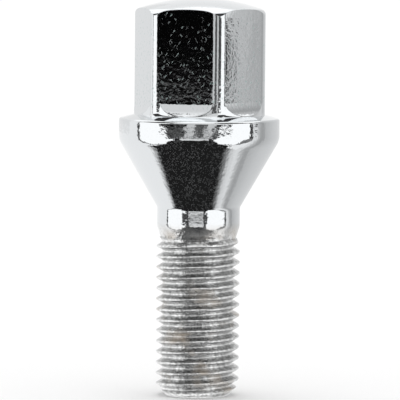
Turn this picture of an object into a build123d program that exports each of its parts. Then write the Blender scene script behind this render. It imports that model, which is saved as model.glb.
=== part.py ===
from build123d import *
from math import atan2, ceil, cos, pi, radians, sin, sqrt, tan
import os

# One-piece wheel bolt, forged, thread-rolled and chrome plated: a closed hexagon head with a
# domed top, a round collar, a conical seat, a plain neck and a right-hand thread.
# Millimetres. The axis is +Z, the flat end of the thread stands on Z = 0, and one flat of the
# hexagon faces -Y.

# Thread and tip
thread_major_d = 11.8
thread_pitch = 1.5
thread_flank_angle = 60
thread_first_crest = 0.84  # height at which the first crest crosses the +X side
thread_length = 22.55  # tip to the waist, where the thread gives way to the neck
tip_flat_d = 8.8
tip_chamfer_angle = 45
tip_edge_r = 0.4

# Run-out of the thread below the waist
runout_length = 1.45
waist_rise = 0.4  # height of the waist's wall above the root of the thread

# Neck and conical seat
neck_d = 11.7
neck_flare_length = 1.5  # waist to the full neck
neck_flare_r = 2.0
neck_length = 4.1  # waist to the corner under the cone
neck_fillet_r = 1.0
seat_angle = 60

# Collar
collar_overhang = 1.95  # beyond the corners of the hexagon
collar_height = 3.05
collar_seat_r = 3.0  # rounding from the collar's wall to the cone
collar_rim_r = 0.4
shoulder_slope = 15.5  # fall of the collar's top face, in degrees

# Hexagon head
hex_across_flats = 16.8
hex_corner_r = 2.0
cove_r = 2.9  # hollow curve at the foot of each flat
cove_height = 2.8  # collar's rim to the top of the cove
corner_clearance = 0.1  # by which the foot stands out from the corners of the hexagon
stock_clearance = 0.05  # by which the turned stock of the head does
head_height = 16.95  # collar's rim to the top of the dome
dome_r = 26.4
dome_corner_r = 1.3  # rounding from the stock's wall to the dome

# Proportions of the standard 60-degree thread, as shares of the pitch
thread_depth = 0.6134 * thread_pitch
crest_flat = thread_pitch / 8

# Allowances that keep one cutting surface clear of another
crest_trim = 0.05  # rolled ridge before its crest is brought down to size
overlap = 0.1
spiral_steps = 8

# Radii and heights worked out from the sizes above
major_r = thread_major_d / 2
root_r = major_r - thread_depth
waist_r = root_r + waist_rise
hidden_r = root_r - overlap
neck_r = neck_d / 2
hex_corner_reach = (hex_across_flats / 2 - hex_corner_r) / cos(pi / 6) + hex_corner_r
collar_r = hex_corner_reach + collar_overhang
waist_z = thread_length
cone_low_z = waist_z + neck_length
cone_high_z = cone_low_z + (collar_r - neck_r) / tan(radians(seat_angle / 2))
rim_z = cone_high_z + collar_height
top_z = rim_z + head_height


def turned(outline, corner_radii):
    """Solid of revolution about Z: outline is (radius, height) points, first and last on the axis.

    It starts on +Y, so that its seam runs up the middle of a flat and not through a corner.
    """
    profile = FilletPolyline(*outline, radius=corner_radii)
    axis_side = Line(outline[-1], outline[0])
    return revolve(Plane.YZ * make_face([profile, axis_side]), Axis.Z)


def polar(radius, turns):
    """Point in the plan at a radius and an angle in turns from +X."""
    return Vector(radius * cos(2 * pi * turns), radius * sin(2 * pi * turns))


def thread_section():
    """Plan section of the thread: a crest arc, an inner arc, and a spiral flank on each side.

    The flanks run on past the crest and the root, to be cut there by true cylinders.
    """
    flank = tan(radians(thread_flank_angle / 2))
    high_r = major_r + crest_trim
    crest_end = (crest_flat / 2 - crest_trim * flank) / thread_pitch
    inner_start = (crest_flat / 2 + (major_r - hidden_r) * flank) / thread_pitch

    def spiral(start_turn, start_r, end_turn, end_r):
        shares = [step / spiral_steps for step in range(spiral_steps + 1)]
        return Edge.make_spline([
            polar(start_r + (end_r - start_r) * share, start_turn + (end_turn - start_turn) * share)
            for share in shares
        ])

    crest = Edge.make_three_point_arc(
        polar(high_r, -crest_end), polar(high_r, 0), polar(high_r, crest_end)
    )
    falling = spiral(crest_end, high_r, inner_start, hidden_r)
    inner = Edge.make_three_point_arc(
        polar(hidden_r, inner_start), polar(hidden_r, 0.5), polar(hidden_r, 1 - inner_start)
    )
    rising = spiral(1 - inner_start, hidden_r, 1 - crest_end, high_r)
    return Face(Wire([crest, falling, inner, rising]))


def thread_turn():
    """One pitch of thread: the plan section twisted a full turn, its crest trimmed to size.

    A round core fills it up to the root, so that the root meets the tip's chamfer exactly.
    """
    ridge = Solid.extrude_linear_with_rotation(
        thread_section(), (0, 0, 0), (0, 0, thread_pitch), 360
    )
    stock = Cylinder(major_r, 3 * thread_pitch)
    core = Pos(0, 0, thread_pitch / 2) * Cylinder(root_r, thread_pitch)
    return ((ridge & stock) + core).solids()[0]


def threaded_shank():
    """Turns of thread stacked from below the tip into the neck, then cut to the shank's outline."""
    clear_r = major_r + overlap
    chamfer_z = (clear_r - tip_flat_d / 2) / tan(radians(tip_chamfer_angle))
    fall = (major_r - waist_r) / runout_length
    fade_z = waist_z - (clear_r - waist_r) / fall
    end_z = waist_z + (waist_r - hidden_r) / fall
    outline = turned(
        [
            (0, 0),
            (tip_flat_d / 2, 0),
            (clear_r, chamfer_z),
            (clear_r, fade_z),
            (hidden_r, end_z),
            (0, end_z),
        ],
        [tip_edge_r, 0, 0, 0],
    )
    first_z = thread_first_crest - thread_pitch * ceil(thread_first_crest / thread_pitch + 1)
    count = ceil((end_z - first_z) / thread_pitch) + 1
    turn = thread_turn()
    turns = [Pos(0, 0, first_z + thread_pitch * place) * turn for place in range(count)]
    return turns[0].fuse(*turns[1:]) & outline


def neck_to_collar():
    """Run-out, neck, conical seat, collar and its sloping top face, turned as one."""
    runout_z = waist_z - runout_length * (waist_r - hidden_r) / waist_rise
    shoulder_z = rim_z + collar_r * tan(radians(shoulder_slope))
    return turned(
        [
            (0, runout_z),
            (hidden_r, runout_z),
            (waist_r, waist_z),
            (neck_r, waist_z + neck_flare_length),
            (neck_r, cone_low_z),
            (collar_r, cone_high_z),
            (collar_r, rim_z),
            (0, shoulder_z),
        ],
        [0, 0, neck_flare_r, neck_fillet_r, collar_seat_r, collar_rim_r],
    )


def domed_stock(low_z):
    """Turned stock of the head: a wall just clear of the hexagon's corners, a rounding and the dome."""
    wall_r = hex_corner_reach + stock_clearance
    dome_z = top_z - dome_r
    ball_r = wall_r - dome_corner_r
    ball_z = dome_z + sqrt((dome_r - dome_corner_r) ** 2 - ball_r**2)
    lean = atan2(ball_r, ball_z - dome_z)

    def on_dome(angle):
        return (dome_r * sin(angle), dome_z + dome_r * cos(angle))

    def on_rounding(angle):
        return (ball_r + dome_corner_r * sin(angle), ball_z + dome_corner_r * cos(angle))

    sides = Polyline((0, top_z), (0, low_z), (wall_r, low_z), (wall_r, ball_z))
    rounding = ThreePointArc((wall_r, ball_z), on_rounding((pi / 2 + lean) / 2), on_rounding(lean))
    dome = ThreePointArc(on_rounding(lean), on_dome(lean / 2), (0, top_z))
    return revolve(Plane.YZ * make_face([*sides.edges(), rounding, dome]), Axis.Z)


def hexagon_head():
    """Hexagon with rounded corners and a cove at the foot of its flats, cut from the domed stock.

    The rounding of the stock takes the top of each corner down. The cove comes down to a round
    foot that just clears the corners, so that the corners run straight down to the collar.
    """
    flats = RegularPolygon(hex_across_flats / 2, 6, major_radius=False)
    flats = fillet(flats.vertices(), hex_corner_r)
    low_z = cone_high_z
    base_z = rim_z + cove_height - cove_r
    clear_z = top_z + overlap
    prism = Pos(0, 0, base_z) * extrude(flats, clear_z - base_z)
    head = prism & domed_stock(low_z)
    base = Pos(0, 0, low_z) * extrude(Circle(collar_r + cove_r), base_z - low_z)
    head += base
    ledge = head.faces().filter_by(GeomType.PLANE).filter_by(Axis.Z).sort_by(Axis.Z)[-1]
    head = fillet(ledge.inner_wires().edges(), cove_r)
    foot = Pos(0, 0, low_z) * extrude(Circle(hex_corner_reach + corner_clearance), clear_z - low_z)
    return head & foot


wheel_bolt = neck_to_collar() + hexagon_head() + threaded_shank()

os.makedirs("parts", exist_ok=True)
export_step(wheel_bolt.solids()[0], "parts/wheel_bolt.step")

box = wheel_bolt.bounding_box()
print("solids", len(wheel_bolt.solids()), "faces", len(wheel_bolt.faces()))
print("volume mm3", round(wheel_bolt.volume, 1), "centre of mass", wheel_bolt.center(CenterOf.MASS))
print("collar diameter", round(2 * collar_r, 3), "overall height", round(box.size.Z, 3))
print("crest cylinder from", round(major_r - tip_flat_d / 2, 3), "to", round(waist_z - runout_length, 3))
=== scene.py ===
# %% [markdown]
# # A chrome-plated wheel bolt
# This lesson builds one wheel bolt: a domed hexagon head, a round collar, a conical seat, a plain
# neck and a rolled thread. On the real bolt it is all one piece of steel under one skin of plating.
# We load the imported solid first. It stays the frame that we work in: the sizes below are the solid's
# own, and the new surface lies on it, but for small roundings that only the eye needs.

# %% Load the frame
import bpy
import numpy as np
from mathutils import Euler, Matrix


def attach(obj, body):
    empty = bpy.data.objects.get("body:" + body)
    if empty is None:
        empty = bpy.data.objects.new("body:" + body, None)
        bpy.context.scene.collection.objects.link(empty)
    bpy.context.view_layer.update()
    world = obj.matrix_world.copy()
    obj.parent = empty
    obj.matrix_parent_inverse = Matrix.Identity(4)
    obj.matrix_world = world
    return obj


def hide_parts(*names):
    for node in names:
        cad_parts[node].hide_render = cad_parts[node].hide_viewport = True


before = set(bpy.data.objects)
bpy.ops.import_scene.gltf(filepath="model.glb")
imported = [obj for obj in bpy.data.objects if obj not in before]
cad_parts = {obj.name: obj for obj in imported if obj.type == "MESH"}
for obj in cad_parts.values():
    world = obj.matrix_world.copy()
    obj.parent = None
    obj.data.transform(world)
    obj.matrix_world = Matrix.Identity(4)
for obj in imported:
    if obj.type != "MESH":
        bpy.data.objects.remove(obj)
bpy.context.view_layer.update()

# %% [markdown]
# ## Sizes
# The surface is worked out in millimetres, as on a drawing, and turned into metres when it goes
# into the mesh. These are the driving sizes of the bolt. Smaller roundings and steps are given where
# they are first needed.

# %% Sizes of the bolt
MM = 0.001
PITCH, MAJOR_R = 1.5, 5.9
DEPTH_SHARE = 0.6134  # depth of a standard 60 degree thread, over its pitch
FIRST_CREST = 0.84  # height at which the first crest crosses the +X side
WAIST_Z = 22.55  # top of the thread, where the neck begins
RUNOUT, WAIST_RISE = 1.45, 0.4  # length in which the thread fades out, and rise of its root there
TIP_R, TIP_EDGE_R = 4.4, 0.4
NECK_R, NECK_FLARE, NECK_LENGTH = 5.85, 1.5, 4.1
SEAT_LEAN = np.radians(30)
COLLAR_OVERHANG, COLLAR_HEIGHT = 1.95, 3.05  # the overhang is beyond the hexagon's corners
SHOULDER_FALL = np.tan(np.radians(15.5))
FLAT, CORNER_R = 8.4, 2.0  # axis to a flat of the hexagon, and rounding of its corners
HEAD_HEIGHT, DOME_R = 16.95, 26.4  # collar's rim to the top, and radius of the dome's sphere

DEPTH = DEPTH_SHARE * PITCH
ROOT_R = MAJOR_R - DEPTH
WAIST_R = ROOT_R + WAIST_RISE
CORNER_CENTRE = (FLAT - CORNER_R) / np.cos(np.pi / 6)
CORNER_REACH = CORNER_CENTRE + CORNER_R
COLLAR_R = CORNER_REACH + COLLAR_OVERHANG
CONE_LOW_Z = WAIST_Z + NECK_LENGTH
CONE_HIGH_Z = CONE_LOW_Z + (COLLAR_R - NECK_R) / np.tan(SEAT_LEAN)
RIM_Z = CONE_HIGH_Z + COLLAR_HEIGHT
TOP_Z = RIM_Z + HEAD_HEIGHT
print("collar radius", round(COLLAR_R, 3), "rim at", round(RIM_Z, 3), "top at", round(TOP_Z, 3))

# %% [markdown]
# ## Columns round the axis
# The whole bolt is one grid: rows climb from the tip to the dome, and columns run round the axis.
# The hexagon turns sharply at its six corners, so it needs close columns there and few on a flat.
# A sine of six waves, taken off evenly spaced angles, draws the columns together at the corners
# gradually, which keeps the smooth shading of the round parts even.

# %% Column angles
COLUMNS, SIDES = 192, 6
CROWDING = 0.6  # 0 would leave the columns evenly spaced

even_angles = 2 * np.pi * np.arange(COLUMNS) / COLUMNS
ANGLES = even_angles - CROWDING / SIDES * np.sin(SIDES * even_angles)
COS, SIN = np.cos(ANGLES), np.sin(ANGLES)
print("columns", COLUMNS, "closest", round(np.degrees(np.diff(ANGLES).min()), 2), "degrees")


def rings(radius, height):
    """Grid of points: each radius and height, one a row or one a point, carried round the axis."""
    radius, height, _ = np.broadcast_arrays(radius, height, ANGLES)
    return np.stack([radius * COS, radius * SIN, height], axis=-1)


# %% [markdown]
# ## Rounded profiles
# Neck, cone and collar are turned shapes, so their surface is a profile swept round the axis.
# A profile could be drawn as a curve object, but a few corner points with a radius each say more
# clearly what a lathe operator would measure. Mirror-bright plating shows every kink, so each
# corner becomes a true arc.

# %% Profile helper
ARC_STEP = np.radians(4)  # largest turn from one row to the next
RUN_STEP = 0.6
LAST_POINTS = 3  # on the last run


def rounded_profile(corners, radii):
    """Points along a line through the corners, where each inner corner is an arc of its radius.

    The arc meets both runs at the distance radius * tan(half the turn) from its corner.
    """
    corners = np.asarray(corners, float)
    runs = np.diff(corners, axis=0)
    lengths = np.hypot(*runs.T)
    ways = runs / lengths[:, None]
    pieces, start = [], corners[0]
    for corner, radius, before, after in zip(corners[1:-1], radii, ways[:-1], ways[1:]):
        turn = np.arctan2(before[0] * after[1] - before[1] * after[0], before @ after)
        reach = radius * np.tan(abs(turn) / 2)
        entry = corner - before * reach
        inward = np.sign(turn) * np.array([-before[1], before[0]])
        steps = max(int(np.ceil(abs(turn) / ARC_STEP)), 2)
        swing = np.linspace(0, abs(turn), steps + 1)[:, None]
        arc = entry + radius * (np.sin(swing) * before + (1 - np.cos(swing)) * inward)
        count = max(int(np.ceil(np.hypot(*(entry - start)) / RUN_STEP)), 1)
        pieces += [np.linspace(start, entry, count, endpoint=False), arc[:-1]]
        start = arc[-1]
    pieces.append(np.linspace(start, corners[-1], LAST_POINTS))
    return np.concatenate(pieces)


# %% [markdown]
# ## Tip
# The thread ends in a flat face with a softly rounded edge and a chamfer. A bevelled cylinder would do
# for that, but it would have to be joined to the thread. So the flat is a few rings from the axis
# outwards, and the edge is an arc of rings up to the chamfer, where the thread's rows go on.

# %% Tip rows
CHAMFER = np.radians(45)
RINGS_ON_EDGE = 7

tip_flat_r = TIP_R - TIP_EDGE_R * np.tan(CHAMFER / 2)
swing = np.linspace(0, CHAMFER, RINGS_ON_EDGE)[:, None]
edge_r = tip_flat_r + TIP_EDGE_R * np.sin(swing)
edge_z = TIP_EDGE_R * (1 - np.cos(swing))
flat_r = tip_flat_r * np.array([0, 0.3, 0.6, 0.9])[:, None]
tip_rows = np.concatenate([rings(flat_r, 0 * flat_r), rings(edge_r, edge_z)])
print("tip rows", len(tip_rows), "flat radius", round(tip_flat_r, 3))

# %% [markdown]
# ## Soft corners
# To cut one round surface by another is to take the smaller of two radii, and to add one is to take
# the larger. A plain minimum leaves a sharp corner, which a bevel would have to find afterwards. So
# the two are blended where they are nearly equal, as rolling blends the corners of a thread.

# %% Soft minimum and maximum
TINY = 1e-9  # keeps a blend of 0 out of a division


def soft_min(a, b, blend):
    """The smaller of a and b, with the corner between them rounded off over the blend width.

    Where a and b are nearer than the blend, the square of what is missing, over 4 blends, is taken off.
    """
    near = np.maximum(blend - np.abs(a - b), 0)
    return np.minimum(a, b) - near**2 / (4 * np.maximum(blend, TINY))


def soft_max(a, b, blend):
    """The larger of a and b, rounded in the same way."""
    return -soft_min(-a, -b, blend)


# %% [markdown]
# ## Thread
# The thread is rolled: its crests and roots are rounded, and its flanks stand at 60 degrees to each
# other. A screw modifier could sweep such a profile, but it can't fade the thread into the neck. So the
# radius is a formula of the phase, which is the place between one crest and the next, and of the
# height, and it is held under the tip's chamfer and the run-out.

# %% Thread's profile
CREST_FLAT = PITCH / 8
FLANK_LEAN = np.radians(30)  # of each flank
ROLLED_BLEND = 0.09  # width over which a crest is rounded; a root has twice that
FLANK_SPREAD = 1.6


def from_crest(phase):
    """Distance along the axis from the nearest crest, at a phase of the thread."""
    return np.abs((phase + 0.5) % 1 - 0.5) * PITCH


def thread_radius(phase, z):
    """Radius at a phase of the thread (0 on the crest, 1 a turn later) and a height.

    The flank falls by cot(30 degrees) of the way from the crest. Chamfer, run-out and the rise to
    the waist are straight lines in z that cut it off.
    """
    flank = MAJOR_R - (from_crest(phase) - CREST_FLAT / 2) / np.tan(FLANK_LEAN)
    rolled = soft_max(soft_min(flank, MAJOR_R, ROLLED_BLEND), ROOT_R, 2 * ROLLED_BLEND)
    left = WAIST_Z - z
    blend = ROLLED_BLEND * np.clip(left / RUNOUT, 0, 1)
    chamfer = TIP_R + z / np.tan(CHAMFER)
    fade = WAIST_R + left * (MAJOR_R - WAIST_R) / RUNOUT
    rise = WAIST_R - left * WAIST_RISE / RUNOUT
    return soft_max(soft_min(soft_min(rolled, chamfer, blend), fade, blend), rise, blend)


def thread_flank(phase):
    """Share of flank at a phase: 0 on the crest and on the root, 1 on the slope between them.

    It is a parabola across the slope, raised by the spread and cut off at 1.
    """
    half = DEPTH * np.tan(FLANK_LEAN) / 2
    middle = CREST_FLAT / 2 + half
    from_middle = np.abs(from_crest(phase) - middle)
    return np.clip(FLANK_SPREAD * (1 - (from_middle / half) ** 2), 0, 1)


print("thread depth", round(DEPTH, 3), "crest flat", round(CREST_FLAT, 3))

# %% [markdown]
# ## Rows along the helix
# Level rows would cut across the crests and turn them into staircases. Here each row of the grid
# follows the helix itself: it starts at one height and has climbed by one pitch when it comes round
# again, so a crest is always one row. At both ends the rows are held at the thread's first and last
# height.

# %% Thread rows
ROWS_PER_TURN = 18

low_z, high_z = edge_z[-1, 0], WAIST_Z
first_z = FIRST_CREST - PITCH * np.ceil((FIRST_CREST - low_z) / PITCH + 1)
row_count = int(np.ceil((high_z - first_z) / PITCH * ROWS_PER_TURN)) + 2
turns_up = np.arange(row_count)[:, None] / ROWS_PER_TURN
thread_z = np.clip(first_z + PITCH * (turns_up + ANGLES / (2 * np.pi)), low_z, high_z)
phase = (first_z - FIRST_CREST) / PITCH + turns_up
thread_rows = rings(thread_radius(phase, thread_z), thread_z)
print("thread rows", row_count, "crest radius", round(np.hypot(*thread_rows[..., :2].T).max(), 3))

# %% [markdown]
# ## Neck, cone and collar
# Above the waist the blank flares to the plain neck, opens into the 60 degree seat that centres the
# bolt in its wheel, and ends in the collar. A cylinder, a cone and a disc would show seams in the
# mirror, so this is one rounded profile, turned as on the lathe.

# %% Neck to collar rows
NECK_FLARE_R, NECK_FILLET_R, COLLAR_SEAT_R, RIM_R = 2.0, 1.0, 3.0, 0.4
SHOULDER_START = 0.6  # rim to the first ring of the sloping top face


def shoulder_z(radius):
    """Height of the collar's sloping top face: a straight rise from the rim towards the axis."""
    return RIM_Z + (COLLAR_R - radius) * SHOULDER_FALL


shoulder_r = COLLAR_R - SHOULDER_START
turned = rounded_profile(
    [
        (WAIST_R, WAIST_Z),
        (NECK_R, WAIST_Z + NECK_FLARE),
        (NECK_R, CONE_LOW_Z),
        (COLLAR_R, CONE_HIGH_Z),
        (COLLAR_R, RIM_Z),
        (shoulder_r, shoulder_z(shoulder_r)),
    ],
    [NECK_FLARE_R, NECK_FILLET_R, COLLAR_SEAT_R, RIM_R],
)
turned_rows = rings(turned[:, :1], turned[:, 1:])
print("neck to collar rows", len(turned_rows), "widest", round(turned[:, 0].max(), 3))

# %% [markdown]
# ## Hexagon
# The wall of the head is a hexagon with rounded corners, in plan. A bevelled prism of six sides would
# look the same, but its points would not lie on our columns. Written as a radius for each angle, the
# hexagon fits the grid, and it can be moved outwards by any offset, which the hollow foot needs.

# %% Hexagon's radius
CORNER_HALF = np.pi / SIDES  # angle from the middle of a flat to a corner
CROWN = 0.03

from_flat = (ANGLES + np.pi / 2 + CORNER_HALF) % (2 * CORNER_HALF) - CORNER_HALF
from_corner = CORNER_HALF - np.abs(from_flat)


def hexagon_radius(offset):
    """Radius of the rounded hexagon, moved outwards by offset, at every column.

    On a flat it is the distance of the flat over the cosine of the angle from its middle, and forging
    leaves the flat a crown, a parabola of a few hundredths of a millimetre. Near a corner the radius
    is the far crossing of the ray with the corner's circle.
    """
    apothem = FLAT + offset
    along = apothem * np.tan(np.abs(from_flat)) / (CORNER_CENTRE * np.sin(CORNER_HALF))
    crowned = apothem + CROWN * np.maximum(1 - along**2, 0)
    across = np.maximum((CORNER_R + offset) ** 2 - (CORNER_CENTRE * np.sin(from_corner)) ** 2, 0)
    corner = CORNER_CENTRE * np.cos(from_corner) + np.sqrt(across)
    return np.where(along <= 1, crowned / np.cos(from_flat), corner)


wall_r = hexagon_radius(0)
print("hexagon radius", round(wall_r.min(), 3), "to", round(wall_r.max(), 3))

# %% [markdown]
# ## Hollow foot
# At its foot the wall sweeps out in a cove, until it meets either the collar's top or a round foot just
# inside the reach of the corners, so that these run straight down. A bevel could not follow that line,
# which differs from column to column. We find it by halving an interval, for all the columns at once.
# The foot is a little narrower and lower than on the solid, which is how the light on it looks right.

# %% Cove
COVE_R, COVE_HEIGHT = 2.9, 2.6
FOOT_INSET = 0.17  # by which the round foot lies inside the reach of the corners
LEAST_COVE = 0.001  # keeps the foot off the wall at the corners
HALVINGS = 40


def cove(swing):
    """Radius and height of the cove, a quarter arc that leaves the wall upright at swing 0."""
    offset = COVE_R * (1 - np.cos(swing))
    return hexagon_radius(offset), RIM_Z + COVE_HEIGHT - COVE_R * np.sin(swing)


round_foot_r = np.maximum(CORNER_REACH - FOOT_INSET, wall_r + LEAST_COVE)
low, high = np.zeros(COLUMNS), np.full(COLUMNS, np.pi / 2)
for _ in range(HALVINGS):
    middle = (low + high) / 2
    cove_r, cove_z = cove(middle)
    inside = (cove_r < round_foot_r) & (cove_z > shoulder_z(cove_r))
    low, high = np.where(inside, middle, low), np.where(inside, high, middle)
cove_end = low
foot_r, foot_z = cove(cove_end)
print("foot radius", round(foot_r.min(), 2), "to", round(foot_r.max(), 2))

# %% [markdown]
# ## Rows of the foot
# With the end of the cove known for each column, the rows follow: up the sloping top of the collar, up
# the edge of the foot, which has no height where the cove ends on the collar, and up the cove itself.

# %% Foot rows
RINGS_ON_COVE = 14

inwards = np.array([0.3, 0.6, 0.85, 0.96, 1])[:, None]
slope_r = shoulder_r + (foot_r - shoulder_r) * inwards
slope_rows = rings(slope_r, shoulder_z(slope_r))
up = np.array([0.35, 0.7, 1])[:, None]
foot_rows = rings(foot_r, shoulder_z(foot_r) + (foot_z - shoulder_z(foot_r)) * up)
swings = cove_end * np.linspace(1, 0, RINGS_ON_COVE + 1)[1:, None]
cove_rows = rings(*cove(swings))
print("foot rows", len(slope_rows) + len(foot_rows) + len(cove_rows))

# %% [markdown]
# ## Dome
# The head was cut from turned stock with a shallow dome and a generous rounding at its edge. A scaled
# sphere would come close, but the two true circles meet without a kink, and give the slope as well.

# %% Top of the stock
STOCK_CLEARANCE, DOME_CORNER_R = 0.05, 1.3

sphere_z = TOP_Z - DOME_R
ball_r = CORNER_REACH + STOCK_CLEARANCE - DOME_CORNER_R
ball_z = sphere_z + np.sqrt((DOME_R - DOME_CORNER_R) ** 2 - ball_r**2)
seam_r = ball_r * DOME_R / (DOME_R - DOME_CORNER_R)


def stock_top(radius):
    """Height and slope of the stock's top: the dome's sphere, or outside the seam its rounded edge.

    On a circle of radius r, the height above its centre at a distance d is the root of r squared less d
    squared, and the slope is d over that height.
    """
    on_dome = radius < seam_r
    away = np.where(on_dome, radius, radius - ball_r)
    rise = np.sqrt(np.where(on_dome, DOME_R, DOME_CORNER_R) ** 2 - away**2)
    return np.where(on_dome, sphere_z, ball_z) + rise, away / rise


print("dome meets its rounding at radius", round(seam_r, 3))

# %% [markdown]
# ## Wall and lip
# The hexagon's wall ends where it meets the turned top, so it stands high in the middle of a flat and
# low at a corner. A small lip breaks the edge. A bevel modifier would make it equally wide everywhere,
# but the real one turns far on a flat and little at a corner. So we turn an arc in the upright plane
# across the edge, from the wall's direction to the slope of the dome.

# %% Wall and lip rows
LIP_R, RINGS_ON_LIP = 0.1, 8

wall_xy = np.stack([wall_r * COS, wall_r * SIN], axis=-1)
flat_angle = ANGLES - from_flat
corner_angle = flat_angle + np.where(from_flat < 0, -CORNER_HALF, CORNER_HALF)
corner_xy = CORNER_CENTRE * np.stack([np.cos(corner_angle), np.sin(corner_angle)], axis=-1)
on_flat = FLAT * np.tan(np.abs(from_flat)) <= CORNER_CENTRE * np.sin(CORNER_HALF)
flat_way = np.stack([np.cos(flat_angle), np.sin(flat_angle)], axis=-1)
wall_way = np.where(on_flat[:, None], flat_way, (wall_xy - corner_xy) / CORNER_R)

meeting_z, slope = stock_top(wall_r)
facing = (wall_way * wall_xy).sum(axis=1) / wall_r
lip_turn = np.pi / 2 - np.arctan(slope * facing)
wall_end_z = meeting_z - LIP_R * np.tan(lip_turn / 2)

share = np.linspace(0, 1, RINGS_ON_LIP)[:, None]
lip_xy = wall_xy - LIP_R * (1 - np.cos(share * lip_turn))[..., None] * wall_way
lip_z = wall_end_z + LIP_R * np.sin(share * lip_turn)
short_of_dome = stock_top(np.hypot(*lip_xy[-1].T))[0] - lip_z[-1]
lip_z += share**2 * short_of_dome
lip_rows = np.concatenate([lip_xy, lip_z[..., None]], axis=-1)
up = np.array([0.03, 0.2, 0.4, 0.6, 0.8, 0.97])[:, None]
wall_rows = rings(wall_r, (RIM_Z + COVE_HEIGHT) * (1 - up) + wall_end_z * up)
print("wall ends at", round(wall_end_z.min(), 2), "to", round(wall_end_z.max(), 2))

# %% [markdown]
# ## Rows of the dome
# From the lip the rows shrink towards the axis and follow the turned top. They lie close together on
# the rounding, where the light changes fast, and further apart on the dome.

# %% Dome rows
on_edge = [0.996, 0.99, 0.982, 0.973, 0.963, 0.951, 0.938, 0.924, 0.91]
on_top = [0.89, 0.86, 0.82, 0.76, 0.68, 0.58, 0.47, 0.36, 0.25, 0.15, 0.07, 0]
dome_xy = lip_xy[-1] * np.array(on_edge + on_top)[:, None, None]
dome_z = stock_top(np.hypot(dome_xy[..., 0], dome_xy[..., 1]))[0]
dome_rows = np.concatenate([dome_xy, dome_z[..., None]], axis=-1)
print("dome rows", len(dome_rows), "top at", round(dome_z.max(), 3))

# %% [markdown]
# ## From rows to faces
# Neighbours in the grid are joined by quads. Some rows lie on each other: at the ends of the thread, at
# the two poles and where the foot has no height. The Merge by Distance tool could join their points,
# but in arrays it takes a few lines, and we learn which point of the grid each one came from.

# %% Face helpers
SAME_PLACE = 1e-6  # points closer than this are one


def quads_between(first, last, climb):
    """Quads between the rows first to last: a point, its right neighbour, and the two above them.

    The right neighbour of the last column is the first column, climb rows higher.
    """
    row, column = np.meshgrid(np.arange(first, last), np.arange(COLUMNS), indexing="ij")
    after = (column + 1) % COLUMNS

    def right(row):
        return np.minimum(row + climb * (after == 0), last) * COLUMNS + after

    corners = [row * COLUMNS + column, right(row), right(row + 1), (row + 1) * COLUMNS + column]
    return np.stack(corners, axis=-1).reshape(-1, 4)


def merged_faces(points, quads):
    """Places of the points without repeats, the quads with four corners, and the others as triangles.

    A quad has lost a side where two corners that follow each other are the same point. One that has
    lost two is left out.
    """
    places = np.round(points / SAME_PLACE)
    _, kept, number = np.unique(places, axis=0, return_index=True, return_inverse=True)
    quads = number.reshape(-1)[quads]
    same = quads == np.roll(quads, -1, axis=1)
    whole = quads[same.sum(axis=1) == 0]
    short = same.sum(axis=1) == 1
    order = (np.argmax(same[short], axis=1)[:, None] + np.arange(1, 4)) % 4
    return kept, whole, np.take_along_axis(quads[short], order, axis=1)


# %% [markdown]
# ## One closed skin
# All the rows are stacked, from the tip to the dome. Separate pieces would overlap or leave gaps, and a
# mirror shows both. Round the thread, the last column joins the first one a turn higher, and
# everywhere else it joins the first one of its own row.

# %% Join the rows
upper_rows = [turned_rows, slope_rows, foot_rows, cove_rows, wall_rows, lip_rows, dome_rows]
grid = np.concatenate([tip_rows, thread_rows, *upper_rows])
thread_start = len(tip_rows)
thread_end = thread_start + len(thread_rows) - 1
quads = np.concatenate([
    quads_between(0, thread_start, 0),
    quads_between(thread_start, thread_end, ROWS_PER_TURN),
    quads_between(thread_end, len(grid) - 1, 0),
])
kept, four_sided, three_sided = merged_faces(grid.reshape(-1, 3), quads)
points = grid.reshape(-1, 3)[kept]
print("bolt points", len(points), "triangles", 2 * len(four_sided) + len(three_sided))

# %% [markdown]
# ## The bolt's object
# The arrays go into a mesh, with smooth shading all over, since close rows already round the edges. The
# share of flank goes along as an attribute of the points, for the finish to use. Then the imported
# solid is hidden, since the new object takes its place, and the new object is hung on the root body.
# Its finish is given below.

# %% Make the object
mesh = bpy.data.meshes.new("plated_bolt")
mesh.from_pydata((points * MM).tolist(), [], four_sided.tolist() + three_sided.tolist())
mesh.polygons.foreach_set("use_smooth", np.ones(len(mesh.polygons), bool))
flank = np.zeros(grid.shape[:2], np.float32)
flank[thread_start:thread_end + 1] = thread_flank(phase)
mesh.attributes.new("flank", "FLOAT", "POINT").data.foreach_set("value", flank.reshape(-1)[kept])
mesh.update()
bolt = bpy.data.objects.new("plated_bolt", mesh)
bpy.context.scene.collection.objects.link(bolt)
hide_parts("wheel_bolt")
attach(bolt, "root")
print("object", bolt.name, "faces", len(mesh.polygons))

# %% [markdown]
# ## Node helpers
# A finish is a small network of nodes. It could be wired by hand in the shader editor, but a script can
# be read and changed. The first helper adds a node, sets its sockets by name and links what is given
# as another node's output. The others name the few nodes that the finishes use again and again.

# %% Node helpers


def add_node(tree, kind, settings=None, **sockets):
    """New node: settings are its properties, sockets its inputs by name, or by place as _0 and _1."""
    node = tree.nodes.new(kind)
    for name, value in (settings or {}).items():
        setattr(node, name, value)
    for name, value in sockets.items():
        numbered = name[1:].isdigit()
        socket = node.inputs[int(name[1:]) if numbered else name.replace("_", " ")]
        if isinstance(value, bpy.types.NodeSocket):
            tree.links.new(value, socket)
        else:
            socket.default_value = value
    return node


def calculated(tree, operation, first, second):
    """Output of two values, put together by an operation of the Math node."""
    return add_node(tree, "ShaderNodeMath", {"operation": operation}, _0=first, _1=second).outputs[0]


def ranged(tree, value, low, high, at_low, at_high):
    """Output that runs straight from at_low, where the value is low, to at_high, and stays there."""
    node = add_node(
        tree, "ShaderNodeMapRange",
        Value=value, From_Min=low, From_Max=high, To_Min=at_low, To_Max=at_high,
    )
    return node.outputs[0]


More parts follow.
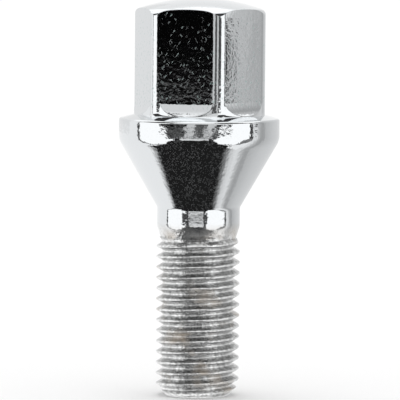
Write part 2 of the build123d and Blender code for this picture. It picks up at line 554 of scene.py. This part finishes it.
def mixed(tree, share, first, second):
    """Output of a colour mix: first where the share is 0, second where it is 1."""
    node = add_node(tree, "ShaderNodeMix", {"data_type": "RGBA"}, _0=share, _6=first, _7=second)
    return node.outputs[2]


def noise(tree, place, waves, detail):
    """Output of smooth noise around a half, with so many waves to a metre."""
    node = add_node(tree, "ShaderNodeTexNoise", Vector=place, Scale=waves, Detail=detail)
    return node.outputs["Fac"]


def cells(tree, place, count):
    """Outputs of cells, so many to a metre: distance from a cell's middle, and the cell's chance."""
    node = add_node(tree, "ShaderNodeTexVoronoi", Vector=place, Scale=count)
    chance = add_node(tree, "ShaderNodeSeparateColor", Color=node.outputs["Color"]).outputs[0]
    return node.outputs["Distance"], chance


# %% [markdown]
# ## Chrome plate
# The whole bolt has one skin of chrome: a metal with a faint blue, and nearly a mirror on the head, the
# collar and the cone. The rolled thread takes the plating badly and stays greyer, and its flanks carry
# a painted shade. Two materials would meet in a line, so there is one, which changes with the height.
# Heights come from Object coordinates, so that the finish stays on the bolt wherever it goes, and the
# thread's flanks from the mesh.

# %% Places on the bolt
THREAD_END, NECK_START = 0.0227, 0.0247  # heights in metres, between which the two finishes blend

plate = bpy.data.materials.new("chrome_plate")
plate.use_nodes = True
mesh.materials.append(plate)
tree = plate.node_tree
place = add_node(tree, "ShaderNodeTexCoord").outputs["Object"]
height = add_node(tree, "ShaderNodeSeparateXYZ", Vector=place).outputs["Z"]
on_thread = ranged(tree, height, THREAD_END, NECK_START, 1.0, 0.0)
on_flank = add_node(tree, "ShaderNodeAttribute", {"attribute_name": "flank"}).outputs["Fac"]
print("finish", plate.name, "blends over", round((NECK_START - THREAD_END) / MM, 2), "mm")

# %% [markdown]
# ## Dull thread
# Rolling leaves the thread scuffed and stained, most of all where the thread runs into the neck. The
# flanks are painted darker than the crests: a painted shade for the shade that falls in the grooves. A
# painted image could show the stains and scuffs, but noise needs no file and has no seam: slow blotches
# are the stains, and a quick noise is the scuffs, stronger on the flanks than on the crests. Where
# Metallic is less than 1, the skin also scatters light, as a dull metal does.

# %% Finish of the thread
# The flank colour is a painted shade. It is darker than the crest colour and stands for the shade in
# the thread's grooves.
CREST_COLOUR, FLANK_SHADE_COLOUR = (0.93, 0.935, 0.935, 1), (0.60, 0.605, 0.605, 1)
SCUFF_COLOUR, STAIN_COLOUR = (0.14, 0.14, 0.135, 1), (0.49, 0.43, 0.36, 1)
THREAD_METAL, STAIN_METAL = 0.84, 0.4
BLOTCHES, STAIN_EDGE, STAIN_MIDDLE, STAIN_STRENGTH = 230.0, 0.57, 0.72, 0.9
WAIST_LOW, WAIST_HIGH = 0.0222, 0.0229
WAIST_STAIN = 0.11  # above the waist, stains start that much lower in the noise
SCUFFS, SCUFF_EDGE, SCUFF_MIDDLE = 2400.0, 0.45, 0.62
CREST_SCUFF, FLANK_SCUFF = 0.3, 0.75

at_waist = ranged(tree, height, WAIST_LOW, WAIST_HIGH, 0.0, WAIST_STAIN)
stain_edge = calculated(tree, "SUBTRACT", STAIN_EDGE, at_waist)
blotch = noise(tree, place, BLOTCHES, detail=3.0)
stained = ranged(tree, blotch, stain_edge, STAIN_MIDDLE, 0.0, STAIN_STRENGTH)
scuff = noise(tree, place, SCUFFS, detail=2.0)
scuff_strength = ranged(tree, on_flank, 0.0, 1.0, CREST_SCUFF, FLANK_SCUFF)
scuff_shape = ranged(tree, scuff, SCUFF_EDGE, SCUFF_MIDDLE, 0.0, 1.0)
scuffed = calculated(tree, "MULTIPLY", scuff_strength, scuff_shape)
# Painted shade: the slopes between crest and root take the darker flank colour.
flank_shaded_colour = mixed(tree, on_flank, CREST_COLOUR, FLANK_SHADE_COLOUR)
scuffed_colour = mixed(tree, scuffed, flank_shaded_colour, SCUFF_COLOUR)
thread_colour = mixed(tree, stained, scuffed_colour, STAIN_COLOUR)
thread_metal = ranged(tree, stained, 0.0, 1.0, THREAD_METAL, STAIN_METAL)
print("nodes for places and thread", len(tree.nodes))

# %% [markdown]
# ## Strokes and dust
# The flats of the head carry short dull strokes, many at the foot and few near the dome, and the cone
# has a fine dust. Both are spots where the mirror scatters light. Round dots would be easy, but the
# real ones are strokes, so we stretch the cells of a Voronoi texture along a leaning line. Each cell
# has a chance of its own, and only cells above a bar, which rises with the height, show their stroke.

# %% Finish of the head
HEAD_COLOUR, STROKE_COLOUR = (0.765, 0.785, 0.80, 1), (0.33, 0.50, 0.47, 1)
STROKES, STROKE_LENGTH, STROKE_DULLNESS = 3100.0, 2.6, 0.5
STROKE_CORE, STROKE_EDGE = 0.05, 0.36
RIGHT_LEAN, LEFT_LEAN = 0.6, -0.5  # radians from upright
FLAT_LOW, FLAT_HIGH = 0.041, 0.0565  # heights in metres between which the bar rises
BAR_LOW, BAR_HIGH = 0.15, 0.97
COVE_LOW, COVE_HIGH = 0.0405, 0.0415  # strokes end here, above the hollow foot
DUST, DUST_BAR, DUST_DULLNESS = 4500.0, 0.5, 0.05
RIM_LOW, RIM_HIGH = 0.0385, 0.0395  # dust lies only below the collar's rim

bar = ranged(tree, height, FLAT_LOW, FLAT_HIGH, BAR_LOW, BAR_HIGH)


def strokes(lean):
    """Output of strokes with a lean: 1 in the middle of a long cell and 0 at its edge.

    This is multiplied by how far the cell's chance lies above the bar.
    """
    drawn = add_node(
        tree, "ShaderNodeMapping", {"vector_type": "TEXTURE"},
        Vector=place, Rotation=(0, lean, 0), Scale=(1, 1, STROKE_LENGTH),
    ).outputs[0]
    distance, chance = cells(tree, drawn, STROKES)
    shape = ranged(tree, distance, STROKE_CORE, STROKE_EDGE, 1.0, 0.0)
    return calculated(tree, "MULTIPLY", shape, ranged(tree, chance, bar, 1.0, 0.0, 1.0))


both_leans = calculated(tree, "MAXIMUM", strokes(RIGHT_LEAN), strokes(LEFT_LEAN))
stroked = calculated(tree, "MULTIPLY", both_leans, ranged(tree, height, COVE_LOW, COVE_HIGH, 0.0, 1.0))
_, dust = cells(tree, place, DUST)
below_rim = ranged(tree, height, RIM_LOW, RIM_HIGH, 1.0, 0.0)
dusty = calculated(tree, "MULTIPLY", below_rim, ranged(tree, dust, DUST_BAR, 1.0, 0.0, DUST_DULLNESS))
dull = calculated(tree, "ADD", dusty, ranged(tree, stroked, 0.0, 1.0, 0.0, STROKE_DULLNESS))
head_colour = mixed(tree, stroked, HEAD_COLOUR, STROKE_COLOUR)
head_metal = ranged(tree, dull, 0.0, 1.0, 1.0, 0.0)
print("nodes with the head", len(tree.nodes))

# %% [markdown]
# ## Peel, grain and dents
# Real plating is never quite flat. It has an orange peel of gentle waves and a grain that grows coarser
# towards the foot of the head, and on the thread the scuffs are dents. They are hundredths of a
# millimetre deep, too small to model, so they are bumps, which only bend the light. Each bump is laid
# on the one before it.

# %% Bumps
PEEL, PEEL_DEPTH = 700.0, 0.00001
GRAIN, GRAIN_DEPTH = 2300.0, 0.000016
GRAIN_LOW, GRAIN_HIGH, FOOT_GRAIN, DOME_GRAIN = 0.040, 0.054, 0.75, 0.4
DENT_DEPTH = 0.00007

peel = noise(tree, place, PEEL, detail=1.0)
grain = noise(tree, place, GRAIN, detail=2.0)
coarse = ranged(tree, height, GRAIN_LOW, GRAIN_HIGH, FOOT_GRAIN, DOME_GRAIN)
waved = add_node(tree, "ShaderNodeBump", Height=peel, Distance=PEEL_DEPTH, Strength=1.0)
grained = add_node(
    tree, "ShaderNodeBump",
    Height=grain, Distance=GRAIN_DEPTH, Strength=coarse, Normal=waved.outputs[0],
)
dented = add_node(
    tree, "ShaderNodeBump",
    Height=scuff, Distance=DENT_DEPTH, Strength=on_thread, Normal=grained.outputs[0],
)
depths = [round(depth / MM, 3) for depth in (PEEL_DEPTH, GRAIN_DEPTH, DENT_DEPTH)]
print("peel, grain and dents", depths, "mm deep")

# %% [markdown]
# ## The plate's shader
# At last the two finishes are blended by the share of thread, and go to the one shader of the plate.
# Chrome is smooth, so its roughness is low everywhere, and only a little higher on the thread.

# %% Shader of the plate
HEAD_ROUGHNESS, THREAD_ROUGHNESS = 0.05, 0.08

shader_inputs = {
    "Base Color": mixed(tree, on_thread, head_colour, thread_colour),
    "Metallic": ranged(tree, on_thread, 0.0, 1.0, head_metal, thread_metal),
    "Roughness": ranged(tree, on_thread, 0.0, 1.0, HEAD_ROUGHNESS, THREAD_ROUGHNESS),
    "Normal": dented.outputs[0],
}
for name, output in shader_inputs.items():
    tree.links.new(output, tree.nodes["Principled BSDF"].inputs[name])
print("plate nodes", len(tree.nodes))

# %% [markdown]
# ## World
# The bolt stands in a white studio. One white for everything would burn out the floor as soon as the
# lamp is added. So the sky is full white where the camera or a mirror image sees it, and a little less
# bright as light. The Light Path node tells the two apart.

# %% White world
SKY_LIGHT, SKY_SEEN = 0.93, 1.0

scene = bpy.context.scene
scene.view_settings.view_transform = "Standard"
world = bpy.data.worlds.new("studio")
scene.world = world
world.use_nodes = True
sky_tree = world.node_tree
ray = add_node(sky_tree, "ShaderNodeLightPath").outputs
shown = calculated(sky_tree, "ADD", ray["Is Camera Ray"], ray["Is Glossy Ray"])
in_view = calculated(sky_tree, "ADD", shown, ray["Is Transmission Ray"])
sky = sky_tree.nodes["Background"]
sky.inputs["Color"].default_value = (1, 1, 1, 1)
brightness = ranged(sky_tree, in_view, 0.0, 1.0, SKY_LIGHT, SKY_SEEN)
sky_tree.links.new(brightness, sky.inputs["Strength"])
print("sky is", SKY_SEEN, "in view and", SKY_LIGHT, "as light")

# %% [markdown]
# ## Floor
# The floor is a large sheet of pale paper, quite dull, so that it shows a shadow and no mirror image. A
# curved backdrop would do as well, but the white world already hides the horizon. The floor stays out
# of the bolt's own mirror images, where the cards below take its place.

# %% Floor
FLOOR_SIZE = 8.0
FLOOR_COLOUR = (0.97, 0.97, 0.97, 1)

paper = bpy.data.materials.new("floor_paper")
paper.use_nodes = True
paper_inputs = paper.node_tree.nodes["Principled BSDF"].inputs
paper_inputs["Base Color"].default_value = FLOOR_COLOUR
paper_inputs["Roughness"].default_value = 1.0
paper_inputs["Specular IOR Level"].default_value = 0.0

side = FLOOR_SIZE / 2
floor_corners = [(-side, -side, 0), (side, -side, 0), (side, side, 0), (-side, side, 0)]
floor_mesh = bpy.data.meshes.new("floor")
floor_mesh.from_pydata(floor_corners, [], [(0, 1, 2, 3)])
floor_mesh.materials.append(paper)
floor = bpy.data.objects.new("floor", floor_mesh)
scene.collection.objects.link(floor)
floor.visible_glossy = False
print("floor", FLOOR_SIZE, "m wide")

# %% [markdown]
# ## Lamp
# The sky alone lights the bolt from all sides and leaves hardly any shadow. One sun from above adds
# one, and is so wide that the shadow stays soft. An area lamp would need a place and a size, a sun
# only a direction. It is kept out of the mirror images, in which it would be a white patch.

# %% Lamp
LAMP_ENERGY, LAMP_SPREAD = 0.45, np.radians(50)
LAMP_TILT = np.radians(-25), np.radians(-20), 0

lamp_data = bpy.data.lights.new("overhead", "SUN")
lamp_data.energy = LAMP_ENERGY
lamp_data.angle = LAMP_SPREAD
lamp = bpy.data.objects.new("overhead", lamp_data)
lamp.rotation_euler = LAMP_TILT
lamp.visible_glossy = False
scene.collection.objects.link(lamp)
print("lamp spread", round(np.degrees(LAMP_SPREAD)), "degrees")

# %% [markdown]
# ## Cards
# Polished metal shows the room more than itself. A photographer stands cards round such a piece: white
# ones as softboxes, black ones to draw dark lines. Flat cards would do, but ours are panels swept round
# the bolt's axis, because their edges then draw upright lines on it. One glowing material serves them
# all, and takes its brightness from the points. Only mirror images see the cards, so they leave the
# floor and its shadow alone.

# %% Card helper
VIEW_TURN = np.radians(12.9)  # from -Y to the camera's side, round the axis
CARD_COLUMNS = 33

glow = bpy.data.materials.new("card_glow")
glow.use_nodes = True
glow_tree = glow.node_tree
glow_tree.nodes.remove(glow_tree.nodes["Principled BSDF"])
level = add_node(glow_tree, "ShaderNodeAttribute", {"attribute_name": "brightness"})
light = add_node(glow_tree, "ShaderNodeEmission", Strength=level.outputs["Fac"])
glow_tree.links.new(light.outputs[0], glow_tree.nodes["Material Output"].inputs["Surface"])


def card(name, distance, rows):
    """Panel swept round the axis at a distance in millimetres, or at one for each row.

    A row is its height in millimetres, its left and right end as angles from the camera's side in
    degrees, and its brightness: one level, or levels spaced evenly from left to right.
    """
    share = np.linspace(0, 1, CARD_COLUMNS)
    height, left, right = np.array([row[:3] for row in rows], float).T[..., None]
    levels = [np.interp(share, np.linspace(0, 1, len(row) - 3), row[3:]) for row in rows]
    turns = np.radians(left + (right - left) * share) + VIEW_TURN
    radius = np.broadcast_to(distance, len(rows))[:, None]
    points = np.stack([radius * np.sin(turns), -radius * np.cos(turns), height + 0 * turns], axis=-1)
    index = np.arange(turns.size).reshape(turns.shape)
    quads = np.stack([index[:-1, :-1], index[:-1, 1:], index[1:, 1:], index[1:, :-1]], axis=-1)
    mesh = bpy.data.meshes.new(name)
    mesh.from_pydata((points * MM).reshape(-1, 3).tolist(), [], quads.reshape(-1, 4).tolist())
    brightness = mesh.attributes.new("brightness", "FLOAT", "POINT")
    brightness.data.foreach_set("value", np.array(levels, np.float32).reshape(-1))
    mesh.materials.append(glow)
    panel = bpy.data.objects.new(name, mesh)
    scene.collection.objects.link(panel)
    panel.visible_camera = panel.visible_diffuse = panel.visible_shadow = False
    print("card", name, "points", turns.size)


# %% [markdown]
# ## Cards in front
# The camera's side of a studio is dark, and the front flat mirrors it: the wall is nearly black at the
# height that the flat sees, and paler where the collar sees it. In front of the wall stand a panel and
# a figure, which the collar and the corners show small, and a panel low down for neck and thread.

# %% Front cards
FIGURE, PANEL, NECK_PANEL, THREAD_PANEL = 0.1, 0.68, 0.5, 0.8
LOW_WALL, NECK_WALL, COLLAR_WALL = 0.06, 0.05, 0.11

card("front_figure", 386, [
    (8, -8, 6, FIGURE),
    (19.5, -8, 6, FIGURE),
    (21.5, -4, 12, FIGURE),
    (70, -4, 12, FIGURE),
])
card("front_panel", 388, [
    (8, -22, 18, PANEL),
    (19.5, -22, 18, PANEL),
    (21.5, -17, 24, PANEL),
    (70, -17, 24, PANEL),
])
card("neck_panel", 388, [
    (-50, -27, 13.5, THREAD_PANEL),
    (-11.5, -27, 13.5, THREAD_PANEL),
    (-10, -27, 13.5, NECK_PANEL),
    (3, -27, 13.5, NECK_PANEL),
])
card("front_wall", 390, [
    (-50, -30, 16, LOW_WALL),
    (-12.5, -32, 18, LOW_WALL),
    (-11, -46, 23.5, NECK_WALL),
    (4, -46, 23.5, NECK_WALL),
    (12, -48, 29, COLLAR_WALL),
    (19, -48, 29, COLLAR_WALL),
    (21, -58, 46, 0.015, 0.015, 0.015, 0.11),
    (25, -58, 47, 0.006, 0.006, 0.006, 0.11),
    (28.5, -58, 47, 0.002, 0.002, 0.006, 0.11),
    (32, -58, 47, 0.002, 0.002, 0.006, 0.11),
    (46, -58, 47, 0.001, 0.001, 0.006, 0.11),
    (62, -50, 30, 0.001, 0.001, 0.006, 0.1),
    (96, -42, -8, 0.001),
])

# %% [markdown]
# ## Sky and sheet in front
# Above the wall, the dome and the hollow foot see a pale sky. The cone looks down, so what it mirrors
# lies low in front: a dark sheet, whose two sides fade and soften the edges of the cone's dark patch.

# %% Sky and sheet
SKY, HIGH_SKY, SHEET = 0.79, 1.2, 0.015
LEFT_FADE = 0.95, 0.03
RIGHT_FADE = 0.03, 0.23, 0.74, 0.84

card("front_sky", 460, [(60, -58, 44, SKY), (460, -58, 44, SKY), (1100, -58, 44, HIGH_SKY)])
card("front_sheet", 410, [
    (-2300, -86, 53, SHEET),
    (-290, -86, 53, SHEET),
    (-225, -54, 32, SHEET),
    (-20, -47, 25, SHEET),
])
card("sheet_left", 411, [(-2300, -98, -86, *LEFT_FADE), (-260, -98, -86, *LEFT_FADE)])
card("sheet_right", 411, [(-2300, 53, 80, *RIGHT_FADE), (-470, 53, 80, *RIGHT_FADE)])

# %% [markdown]
# ## Softboxes
# A softbox on either side gives the bright bands. Each has a dark frame behind it, a little larger, so
# that the band is drawn with a dark outline, as on the collar and the neck.

# %% Left and right softbox
SOFTBOX, FRAME, LOW_FRAME = 1.25, 0.05, 0.2

card("left_softbox", 400, [
    (-210, -76, -52, SOFTBOX),
    (-110, -90, -49, SOFTBOX),
    (-60, -93.5, -36, SOFTBOX),
    (-17, -93.5, -36, SOFTBOX),
    (-13, -93.5, -45, SOFTBOX),
    (208, -93.5, -40, SOFTBOX),
])
card("left_frame", 420, [
    (-245, -79, -53, FRAME),
    (-130, -94, -50, FRAME),
    (-90, -98, -40, FRAME),
    (820, -98, -40, FRAME),
])
card("right_softbox", 400, [
    (-210, 30, 58, SOFTBOX),
    (-60, 21, 66, SOFTBOX),
    (-19, 21, 72, SOFTBOX),
    (-15, 25, 77, SOFTBOX),
    (208, 25, 77, SOFTBOX),
])
card("right_frame", 420, [
    (-245, 32, 61, LOW_FRAME),
    (-110, 30, 78, LOW_FRAME),
    (-16, 30, 82.5, LOW_FRAME),
    (-10, 30, 82.5, FRAME),
    (820, 30, 82.5, FRAME),
])

# %% [markdown]
# ## Walls and ceiling
# The right flat looks sideways at a grey wall, with a stand and a soft figure before it, which give the
# flat its dark left edge and its gentle shading. A pale wall behind fills the left flat, and the back
# wall and the softboxes overhead fill the dome, the collar's top and the flanks of the thread.

# %% Walls and ceiling
SIDE_LIGHT, STAND, LEFT_WALL, CEILING, BACK_CEILING = 0.85, 0.04, 0.87, 1.5, 1.3
WALL_LEVELS = 0.62, 0.6, 0.48, 0.42, 0.42, 0.48
FAR_WALL_LEVELS = 0.55, 0.68, 0.74, 0.8

card("right_light", 480, [
    (-900, 77, 84, SIDE_LIGHT),
    (-100, 80, 88, SIDE_LIGHT),
    (0, 80, 92, SIDE_LIGHT),
    (420, 80, 92, SIDE_LIGHT),
])
card("right_stand", 470, [(17, 86, 91.2, STAND), (39, 86, 91.2, STAND)])
card("right_figure", 470, [
    (17, 91.2, 96.2, 0.3, 0.42, 0.5, 0.53, 0.53, 0.52, 0.52, 0.5, 0.5, 0.5, 0.5),
    (28, 91.2, 96.2, 0.05, 0.15, 0.4, 0.6, 0.66, 0.66, 0.62, 0.54, 0.49, 0.46, 0.47),
    (38, 91.2, 96.2, 0.02, 0.1, 0.35, 0.6, 0.66, 0.66, 0.6, 0.52, 0.47, 0.44, 0.46),
])
card("right_wall", 482, [
    (-900, 84, 100, *WALL_LEVELS),
    (-100, 88, 106, *WALL_LEVELS),
    (0, 90.5, 108, *WALL_LEVELS),
    (420, 90.5, 108, *WALL_LEVELS),
])
card("right_far_wall", 480, [
    (-900, 100, 170, *FAR_WALL_LEVELS),
    (-100, 106, 170, *FAR_WALL_LEVELS),
    (0, 108, 170, *FAR_WALL_LEVELS),
    (420, 108, 170, *FAR_WALL_LEVELS),
])
card("left_back_wall", 480, [(10, -175, -118, LEFT_WALL), (260, -175, -118, LEFT_WALL)])
card("back_wall", 500, [(60, 130, 230, 1.0), (360, 130, 230, 0.93)])
card("overhead_softbox", [160, 0], [(460, -100, 100, CEILING), (460, -100, 100, CEILING)])
card("overhead_back", [620, 0], [(480, 100, 260, BACK_CEILING), (480, 100, 260, BACK_CEILING)])
print("cards", glow.users)

# %% [markdown]
# ## Camera
# The photo was taken from a little above, with a long lens: upright edges stay parallel, and the
# collar's ellipse is flat. A Track To constraint could aim the camera, but its turn is simple enough to
# write down: round the axis, down by the rise, and a slight roll, since the bolt leans in the picture.

# %% Camera
VIEW_RISE, VIEW_ROLL, VIEW_DISTANCE = np.radians(4.15), np.radians(0.5), 0.6
AIM = np.array([0.0002, 0.0, 0.02764])
LENS, SENSOR = 382.2, 36.0

camera_data = bpy.data.cameras.new("camera")
camera_data.lens = LENS
camera_data.sensor_width = SENSOR
camera = bpy.data.objects.new("camera", camera_data)
scene.collection.objects.link(camera)
away = np.cos(VIEW_RISE)
to_camera = np.array([away * np.sin(VIEW_TURN), -away * np.cos(VIEW_TURN), np.sin(VIEW_RISE)])
camera.location = AIM + to_camera * VIEW_DISTANCE
level_view = Euler((np.pi / 2 - VIEW_RISE, 0, VIEW_TURN)).to_matrix()
camera.rotation_euler = (level_view @ Matrix.Rotation(VIEW_ROLL, 3, "Z")).to_euler()
scene.camera = camera
print("camera at", [round(value, 4) for value in camera.location])
